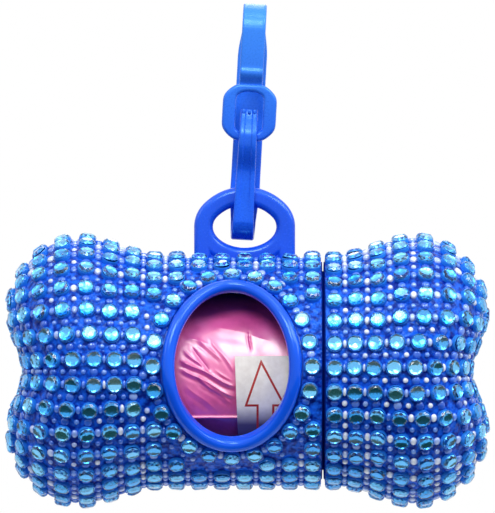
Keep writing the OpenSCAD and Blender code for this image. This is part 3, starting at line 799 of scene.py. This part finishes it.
def strap_path():
    """Middle line of the strap: out of the buckle, over the loop, down the back and up to the tongue's tip.

    Rows of [y, z, half width, half thickness, groove depth].
    """
    mid, low, half_t = LOOP_R + STRAP_T / 2, BEND_R + STRAP_T / 2, STRAP_T / 2
    loop_half, strap_half, bend_half, root_half = LOOP_W / 2, STRAP_W / 2, BEND_W / 2, TONGUE_ROOT_W / 2
    buckle_top, loop_foot = BUCKLE_DROP - BUCKLE_H / 2, -LOOP_R - 0.6
    # Out of the buckle, up to the loop and over it
    front_run = [
        [BUCKLE_Y, -buckle_top - STRAP_T], [BUCKLE_Y - 0.05, -buckle_top + 0.4], [-mid - 0.05, -7.4],
        [-mid + 0.2, -6.5], [-mid + 0.1, loop_foot],
    ]
    front_run += [[mid * math.cos(f), mid * math.sin(f)] for f in np.linspace(math.pi, 0, 25)]
    rows = [[y, z, loop_half, half_t, 0] for y, z in front_run]
    # Down the back, where it is wider
    rows.append([mid - 0.05, -LOOP_R + 1.2, loop_half + 0.35, half_t, 0])
    rows.append([mid - 0.12, loop_foot, strap_half, half_t, 0])
    for t in np.linspace(0.1, 1, 8):
        y = mid - 0.12 + (low - mid + 0.12) * t * 0.87
        rows.append([y, loop_foot - t * (STRAP_DROP + loop_foot), strap_half, half_t, 0])
    # Round the lower bend, where it narrows to the tongue
    rows.append([low, -BEND_DROP, bend_half, half_t, 0])
    for f in np.linspace(0, math.pi, 17)[1:]:
        t = f / math.pi
        h = half_t + (TONGUE_T / 2 - half_t) * t
        y, z = (BEND_R + h) * math.cos(f), -BEND_DROP - (BEND_R + h) * math.sin(f)
        rows.append([y, z, bend_half + (root_half - bend_half) * t, h, 0])
    # Up the front, over the buckle's lower bar and in at its slot
    front, over = -(BEND_R + TONGUE_T / 2), BUCKLE_Y - BUCKLE_T / 2 - TONGUE_FIT - TONGUE_T / 2
    buckle_low, slot_low = BUCKLE_DROP + BUCKLE_H / 2, BUCKLE_DROP + SLOT_H / 2
    top = BUCKLE_DROP - TONGUE_T / 2
    tongue = [
        [front, -BEND_DROP + 3], [front, -BEND_DROP + 6], [front, -(STRAP_DROP - EAR_BAR)],
        [front - 0.25, -23.6], [over + 0.6, -21.6], [over + 0.1, -(buckle_low + TONGUE_T)], [over, -18.9],
        [over + 0.05, -slot_low - 0.1], [over + 0.5, -(slot_low - TONGUE_T)], [over + 1.2, -15.9],
        [BUCKLE_Y, -(BUCKLE_DROP + TONGUE_T)], [BUCKLE_Y + 0.4, -14.2], [BUCKLE_Y + 0.5, -top],
    ]
    for y, z in tongue:
        t = (z + BEND_DROP) / (BEND_DROP - top)
        rows.append([y, z, (TONGUE_ROOT_W + (TONGUE_W - TONGUE_ROOT_W) * t) / 2, TONGUE_T / 2, GROOVE_DEPTH])
    return np.array(rows)


def catmull(rows, steps=3):
    """The rows with steps-1 more between each two, on a smooth curve."""
    out = []
    for i in range(len(rows) - 1):
        p0, p1, p2, p3 = rows[max(i - 1, 0)], rows[i], rows[i + 1], rows[min(i + 2, len(rows) - 1)]
        square, cube = 2 * p0 - 5 * p1 + 4 * p2 - p3, 3 * p1 - p0 - 3 * p2 + p3
        for t in np.arange(steps) / steps:
            out.append(0.5 * (2 * p1 + (p2 - p0) * t + square * t * t + cube * t**3))
    return np.array(out + [rows[-1]])


def strap_shape():
    """The strand: a rounded band with a flat groove in the face of the tongue."""
    rows = catmull(strap_path())
    rings = []
    for i, (y, z, half_w, half_t, groove) in enumerate(rows):
        ahead = rows[min(i + 1, len(rows) - 1)][:2] - rows[max(i - 1, 0)][:2]
        along = ahead / np.linalg.norm(ahead)
        section = rounded(half_w, half_t, STRAP_EDGE_R)
        brink, bottom = half_w - 0.75, half_w - 1.0
        face = [[brink, half_t], [bottom, half_t - groove], [-bottom, half_t - groove], [-brink, half_t]]
        section = np.vstack([section[:6], face, section[6:]])
        rings.append([[w, y - h * along[1], z + h * along[0]] for w, h in section])
    return sweep(lean(np.array(rings)))


def smooth_outline(half_w, half_h, r, steps=144, passes=10):
    """Outline of a box with round corners, its last edges rubbed away."""
    f = turns(steps)
    p = box_reach(half_w, half_h, r, f)[:, None] * np.stack([np.cos(f), np.sin(f)], -1)
    for _ in range(passes):
        p = 0.5 * p + 0.25 * (np.roll(p, 1, 0) + np.roll(p, -1, 0))
    return p


def buckle_shape():
    """The buckle's ring: a rounded section between the slot's outline and the outer one."""
    outer = smooth_outline(BUCKLE_W / 2, BUCKLE_H / 2, BUCKLE_CORNER_R)
    inner = smooth_outline(SLOT_W / 2, SLOT_H / 2, SLOT_CORNER_R)
    rings = []
    for o, i in zip(outer, inner):
        mid, half = (o + i) / 2, (o - i) / 2
        reach = np.linalg.norm(half)
        rings.append([[*(mid + half / reach * w), h] for w, h in rounded(reach, BUCKLE_T / 2, BUCKLE_EDGE_R)])
    p = np.array(rings)
    return sweep(lean(np.stack([p[..., 0], BUCKLE_Y + p[..., 2], p[..., 1] - BUCKLE_DROP], -1)), closed=True)


def nub_solids(places=(-0.95, 0, 0.95), size=(0.3, -0.25, 0.42)):
    """Three bumps in a row on the tongue's tip."""
    nubs = Batch()
    y, z = BUCKLE_Y + 0.4 - TONGUE_T / 2, -(BUCKLE_DROP - TONGUE_T / 2) - 0.35
    for x in places:
        nubs.add(lean(PEG[0][:, [0, 2, 1]] * size + [x, y, z]), PEG[1])
    return nubs


strap = make("strap_strand", strap_shape())
dress(strap, "strap", [strap_blue], ["hanging_strap"], sharp=40, at=ORIGIN)
buckle = make("strap_buckle", buckle_shape())
dress(buckle, "strap", [strap_blue], sharp=40, at=ORIGIN)
nubs = nub_solids().object("strap_tongue_nubs")
dress(nubs, "strap", [strap_blue], sharp=60, at=ORIGIN)


# ---- Bag roll ----

def film_material():
    m, tree, s = material("bag_film")
    shades = [(0.3, (0.62, 0.045, 0.25)), (0.55, (0.86, 0.11, 0.38)), (0.8, (0.95, 0.22, 0.50))]
    tree.links.new(ramp(tree, noise(tree, 160, 4, 0.6), shades), s.inputs["Base Color"])
    s.inputs["Roughness"].default_value = 0.3
    s.inputs["IOR"].default_value = 1.6
    s.inputs["Coat Weight"].default_value = 1.0
    s.inputs["Coat Roughness"].default_value = 0.32
    s.inputs["Coat IOR"].default_value = 1.85
    bump(tree, s, noise(tree, 420, 5, 0.6), 0.5, 0.0001)
    return m


def paper_material():
    """Paper with painted shade towards the window's lower edge."""
    m, tree, s = material("label_paper")
    colour = mottled(tree, 900, 4, (0.80, 0.75, 0.70), (0.92, 0.88, 0.83))
    # Painted shade on the label's lower part
    colour = paint_light_and_shade_by_height(tree, colour, -0.0650, -0.0682, (0.08, 0.06, 0.14))
    tree.links.new(colour, s.inputs["Base Color"])
    s.inputs["Roughness"].default_value = 0.75
    bump(tree, s, noise(tree, 2500, 4), 0.25, 0.00003)
    return m


def ink_material():
    m, tree, s = material("label_ink")
    tree.links.new(mottled(tree, 1500, 3, (0.34, 0.015, 0.015), (0.50, 0.03, 0.03)), s.inputs["Base Color"])
    s.inputs["Roughness"].default_value = 0.6
    return m


def board_material():
    m, tree, s = material("core_board")
    tree.links.new(mottled(tree, 700, 5, (0.34, 0.22, 0.13), (0.50, 0.36, 0.22)), s.inputs["Base Color"])
    s.inputs["Roughness"].default_value = 0.85
    bump(tree, s, noise(tree, 1200, 5), 0.4, 0.00008)
    return m


# Creases of the film as seen from the front: [x, z] of both ends, width and height
CREASES = [
    (-11.9, 2.2, -1.6, -3.0, 0.38, 0.54), (-9.9, 5.1, -6.3, -0.6, 0.26, -0.40),
    (-11.8, 0.8, -1.8, -4.8, 0.36, 0.42), (-8.8, -1.0, -2.6, -5.8, 0.36, 0.28),
    (-11.2, 4.0, -7.4, 0.6, 0.26, 0.34), (-8.8, 6.2, -4.2, 1.6, 0.30, 0.26),
    (-6.8, 6.4, -1.8, -0.6, 0.26, 0.24), (0.3, 7.6, 0.8, 3.0, 0.20, -0.26),
    (-10.9, -2.2, -5.2, -7.0, 0.45, 0.16), (-6.0, 8.2, 4.4, 5.4, 0.70, 0.14),
    (-9.4, 0.4, -5.6, -4.0, 0.22, 0.20), (-5.8, 0.6, -2.2, -2.0, 0.24, 0.22),
    (-11.0, 6.6, -6.0, 4.4, 0.40, 0.18),
]


def film_height(x, z):
    """Height of the creases: each one a sharp ridge with a soft valley beside it."""
    h = np.zeros_like(x)
    for x0, z0, x1, z1, width, height in CREASES:
        d = np.array([x1 - x0, z1 - z0])
        length = np.linalg.norm(d)
        along = ((x - x0) * d[0] + (z - z0) * d[1]) / length
        across = (-(x - x0) * d[1] + (z - z0) * d[0]) / length + 0.12 * np.sin(along * 0.9)
        ends = smooth(0, 1.8, along) * smooth(0, 1.8, length - along)
        ridge, valley = np.exp(-np.abs(across) / width), np.exp(-(((across + 2.2 * width) / width) ** 2))
        h += height * ends * (ridge - 0.4 * valley)
    return h


def spaced(*runs):
    """Values in even steps over each run of (start, end, steps), one after the other, without the last end."""
    return np.concatenate([np.linspace(start, end, count + 1)[:-1] for start, end, count in runs])


def roll_shape():
    """The wound film: creased, a little slack, with the outer bag's fold near the bottom of the window.

    Its grid is fine only where the window shows it.
    """
    half, (left, right), (low, high) = ROLL_LEN / 2, FILM_SHOWN_X, FILM_SHOWN_DEG
    xs = np.append(spaced((-half, left, 24), (left, right, 239), (right, half, 30)), half)
    a = np.radians(spaced((-180, low, 30), (low, high, 239), (high, 180, 33))) % TAU
    grid_x, grid_a = np.meshgrid(xs, a, indexing="ij")
    signed = (grid_a + math.pi) % TAU - math.pi
    facing = np.abs(signed) < math.pi / 2
    h = 0.8 * film_height(grid_x, ROLL_R * np.sin(signed) + ROLL_Z) * facing
    h += 0.05 * np.sin(grid_x * 1.1 + 2.0 * signed) * np.sin(3 * signed + grid_x * 0.4)
    under = smooth(FOLD_ANGLE + 0.02, FOLD_ANGLE - 0.02, signed) * facing * (signed < FOLD_ANGLE)
    hem = np.exp(-(((signed - FOLD_ANGLE - 0.03) / 0.018) ** 2))
    r = np.minimum(ROLL_R - FILM_SLACK + h + HEM_H * hem - FOLD_STEP * under, ROLL_R)

    def around(x, r, a):
        return np.stack([x + 0 * a, -r * np.cos(a), r * np.sin(a) + ROLL_Z], -1)

    ends = [around(x, CORE_R + 0.02, a)[None] for x in (-half, half)]
    return sweep(np.concatenate([ends[0], around(grid_x, r, grid_a), ends[1]]), closed=True)


roll = make("film_roll", roll_shape())
dress(roll, "roll", [film_material()], ["bag_roll"], sharp=60)

core_in, core_half = CORE_R - CORE_WALL, ROLL_LEN / 2
core_profile = [(core_in, -core_half), (CORE_R, -core_half), (CORE_R, core_half), (core_in, core_half)]
core_points, core_faces = round_shape(core_profile, 72, filled=False)
core = make("roll_core_tube", (core_points[:, [2, 0, 1]] + [0, 0, ROLL_Z], core_faces))
dress(core, "roll", [board_material()], ["roll_core"], sharp=40)


def on_label(x, a, h):
    """Point h over the film at x along the roll and angle a, in degrees."""
    a, r = math.radians(a), ROLL_R + h
    return np.array([x, -r * math.cos(a), r * math.sin(a) + ROLL_Z])


def label_shape(cols=30, rows=60):
    """The label, wound round the film; its left edge is a little askew."""
    points, faces = [], []
    for h in (LABEL_T, LABEL_UNDER):
        for a in np.linspace(LABEL_TOP, LABEL_TOP - LABEL_ANGLE, rows):
            left = LABEL_X + LABEL_SKEW * (LABEL_TOP - a)
            points += [on_label(x, a, h) for x in np.linspace(left, LABEL_X + LABEL_W, cols)]
    half = rows * cols
    for i in range(rows - 1):
        for k in range(cols - 1):
            p = i * cols + k
            quad = (p, p + 1, p + cols + 1, p + cols)
            faces += [quad, (half + quad[0], half + quad[3], half + quad[2], half + quad[1])]
    edge = list(range(cols)) + [i * cols + cols - 1 for i in range(1, rows)]
    edge += [(rows - 1) * cols + k for k in range(cols - 2, -1, -1)]
    edge += [i * cols for i in range(rows - 2, 0, -1)]
    for p, q in zip(edge, edge[1:] + edge[:1]):
        faces.append((p, q, half + q, half + p))
    return np.array(points), faces


label = make("roll_paper_label", label_shape())
dress(label, "roll", [paper_material()], ["roll_label"], sharp=40)

# Outline of the printed arrow, as seen from the front: [x, z] in the bone's frame
ARROW = [
    (2.35, 1.65), (6.35, -5.83), (4.44, -5.83), (4.44, -12.0), (1.74, -12.0), (1.74, -5.83), (-0.26, -5.83),
]


def arrow_shape(steps=14):
    """The arrow's line, laid on the label with mitred corners."""
    corners = np.array(ARROW)
    n = len(corners)
    sides = ([], [])
    for i in range(n):
        d0, d1 = unit(corners[i] - corners[i - 1]), unit(corners[(i + 1) % n] - corners[i])
        n0, n1 = np.array([-d0[1], d0[0]]), np.array([-d1[1], d1[0]])
        mitre = unit(n0 + n1)
        reach = ARROW_LINE / 2 / max(0.35, float(mitre @ n0))
        for side, sign in zip(sides, (1, -1)):
            side.append(corners[i] + sign * mitre * reach)
    points, faces = [], []
    for i in range(n):
        for k in range(steps):
            for t in (k / steps, (k + 1) / steps):
                for line in sides:
                    x, z = line[i] + (line[(i + 1) % n] - line[i]) * t
                    a = math.degrees(math.asin((z - ROLL_Z) / (ROLL_R + LABEL_T)))
                    points.append(on_label(x, a, LABEL_T + INK_H))
            b = len(points) - 4
            faces.append((b, b + 1, b + 3, b + 2))
    return np.array(points), faces


arrow = make("label_arrow", arrow_shape())
dress(arrow, "roll", [ink_material()])


# ---- Studio ----

FLOOR_X, FLOOR_FRONT, FLOOR_BACK, FLOOR_Z = 450, -45, 860, -130
CARD_X, CARD_FRONT, CARD_CORNER_X, CARD_CORNER_Y, CARD_Z = -2600, -1500, -500, -355, -131


def matt(name, scale, low, high, rough):
    """A dull, even surface of the studio."""
    m, tree, s = material(name)
    tree.links.new(mottled(tree, scale, 2, low, high), s.inputs["Base Color"])
    s.inputs["Roughness"].default_value = rough
    s.inputs["Specular IOR Level"].default_value = 0.1
    return m


def stage_sheet(name, corners, z, surface):
    """A flat sheet of the studio at height z."""
    sheet = make(name, ([[x, y, z] for x, y in corners], [tuple(range(len(corners)))]))
    sheet.data.materials.append(surface)
    return sheet


stage_sheet(
    "studio_floor",
    [[-FLOOR_X, FLOOR_FRONT], [FLOOR_X, FLOOR_FRONT], [FLOOR_X, FLOOR_BACK], [-FLOOR_X, FLOOR_BACK]], FLOOR_Z,
    matt("studio_floor", 8, grey(0.83), grey(0.85), 0.9),
)
# A dark card on the ground in front of the object, which only reflections see, gives the stones their depth
card = stage_sheet(
    "studio_card",
    [
        [CARD_X, FLOOR_FRONT], [CARD_X, CARD_FRONT], [CARD_CORNER_X, CARD_CORNER_Y], [FLOOR_X, CARD_CORNER_Y],
        [FLOOR_X, FLOOR_FRONT],
    ], CARD_Z,
    matt("studio_card", 3, (0.035, 0.065, 0.040), (0.045, 0.080, 0.050), 0.95),
)
card.visible_camera = card.visible_diffuse = False


def studio_world(dim=0.2):
    """A white backdrop to the camera, in reflections and through glass; a dim one as a light."""
    world = bpy.data.worlds.new("studio_world")
    bpy.context.scene.world = world
    world.use_nodes = True
    tree = world.node_tree
    background = tree.nodes["Background"]
    path = tree.nodes.new("ShaderNodeLightPath")
    seen = path.outputs["Is Camera Ray"]
    for other in ("Is Glossy Ray", "Is Transmission Ray"):
        either = tree.nodes.new("ShaderNodeMath")
        either.operation = "MAXIMUM"
        tree.links.new(seen, either.inputs[0])
        tree.links.new(path.outputs[other], either.inputs[1])
        seen = either.outputs[0]
    level = tree.nodes.new("ShaderNodeMapRange")
    level.inputs["To Min"].default_value, level.inputs["To Max"].default_value = dim, 1.0
    tree.links.new(seen, level.inputs["Value"])
    tree.links.new(level.outputs["Result"], background.inputs["Strength"])
    background.inputs["Color"].default_value = (1, 1, 1, 1)


MIDDLE = Vector((-0.001, 0, -0.045))  # what the lamps face


def lamp(name, azimuth, elevation, distance, width, height, radiance):
    """A softbox that faces the object, in metres; azimuth 0 is in front and 90 on the right."""
    data = bpy.data.lights.new(name, "AREA")
    data.shape, data.size, data.size_y = "RECTANGLE", width, height
    data.energy = radiance * math.pi * width * height
    obj = bpy.data.objects.new(name, data)
    az, el = math.radians(azimuth), math.radians(elevation)
    way = Vector((math.sin(az) * math.cos(el), -math.cos(az) * math.cos(el), math.sin(el)))
    obj.location = MIDDLE + way * distance
    obj.rotation_mode = "QUATERNION"
    side = Vector((math.cos(az), math.sin(az), 0))
    obj.rotation_quaternion = Matrix([side, way.cross(side), way]).transposed().to_quaternion()
    bpy.context.scene.collection.objects.link(obj)


studio_world()
lamp("top_box", 0, 62, 1.4, 2.2, 1.3, 0.65)
lamp("key_box", -8, 38, 1.3, 0.5, 0.48, 11.5)
lamp("cap_key_box", 40, 41, 1.3, 0.5, 0.36, 8)
lamp("key_strip", 4, 68, 1.35, 0.5, 0.2, 4)
lamp("left_box", -75, 35, 1.4, 0.5, 0.9, 2)
lamp("right_box", 70, 35, 1.4, 0.5, 0.9, 5)
for k in range(3):
    lamp(f"back_strip_{k}", 180, 25 + 18 * k, 1.5, 0.28, 0.36, 2.5)

# The camera looks straight at the photo's middle from far off, with the photo's rows in view
PIXEL, PHOTO_ROWS, BONE_ROW = 0.174, 513, 370.5  # mm to a pixel, rows in all, row of the bone's middle
VIEW_X, DISTANCE, SENSOR = -1.1, 1500, 36
camera = bpy.data.objects.new("camera", bpy.data.cameras.new("camera"))
bpy.context.scene.collection.objects.link(camera)
bpy.context.scene.camera = camera
camera.location = Vector((VIEW_X, -DISTANCE, BONE_AT[2] + (BONE_ROW - PHOTO_ROWS / 2) * PIXEL)) * MM
camera.rotation_euler = (math.pi / 2, 0, 0)
camera.data.sensor_width = SENSOR
camera.data.lens = SENSOR * DISTANCE / (PHOTO_ROWS * PIXEL)
camera.data.clip_start, camera.data.clip_end = 0.1, 20
bpy.context.scene.view_settings.view_transform = "Standard"
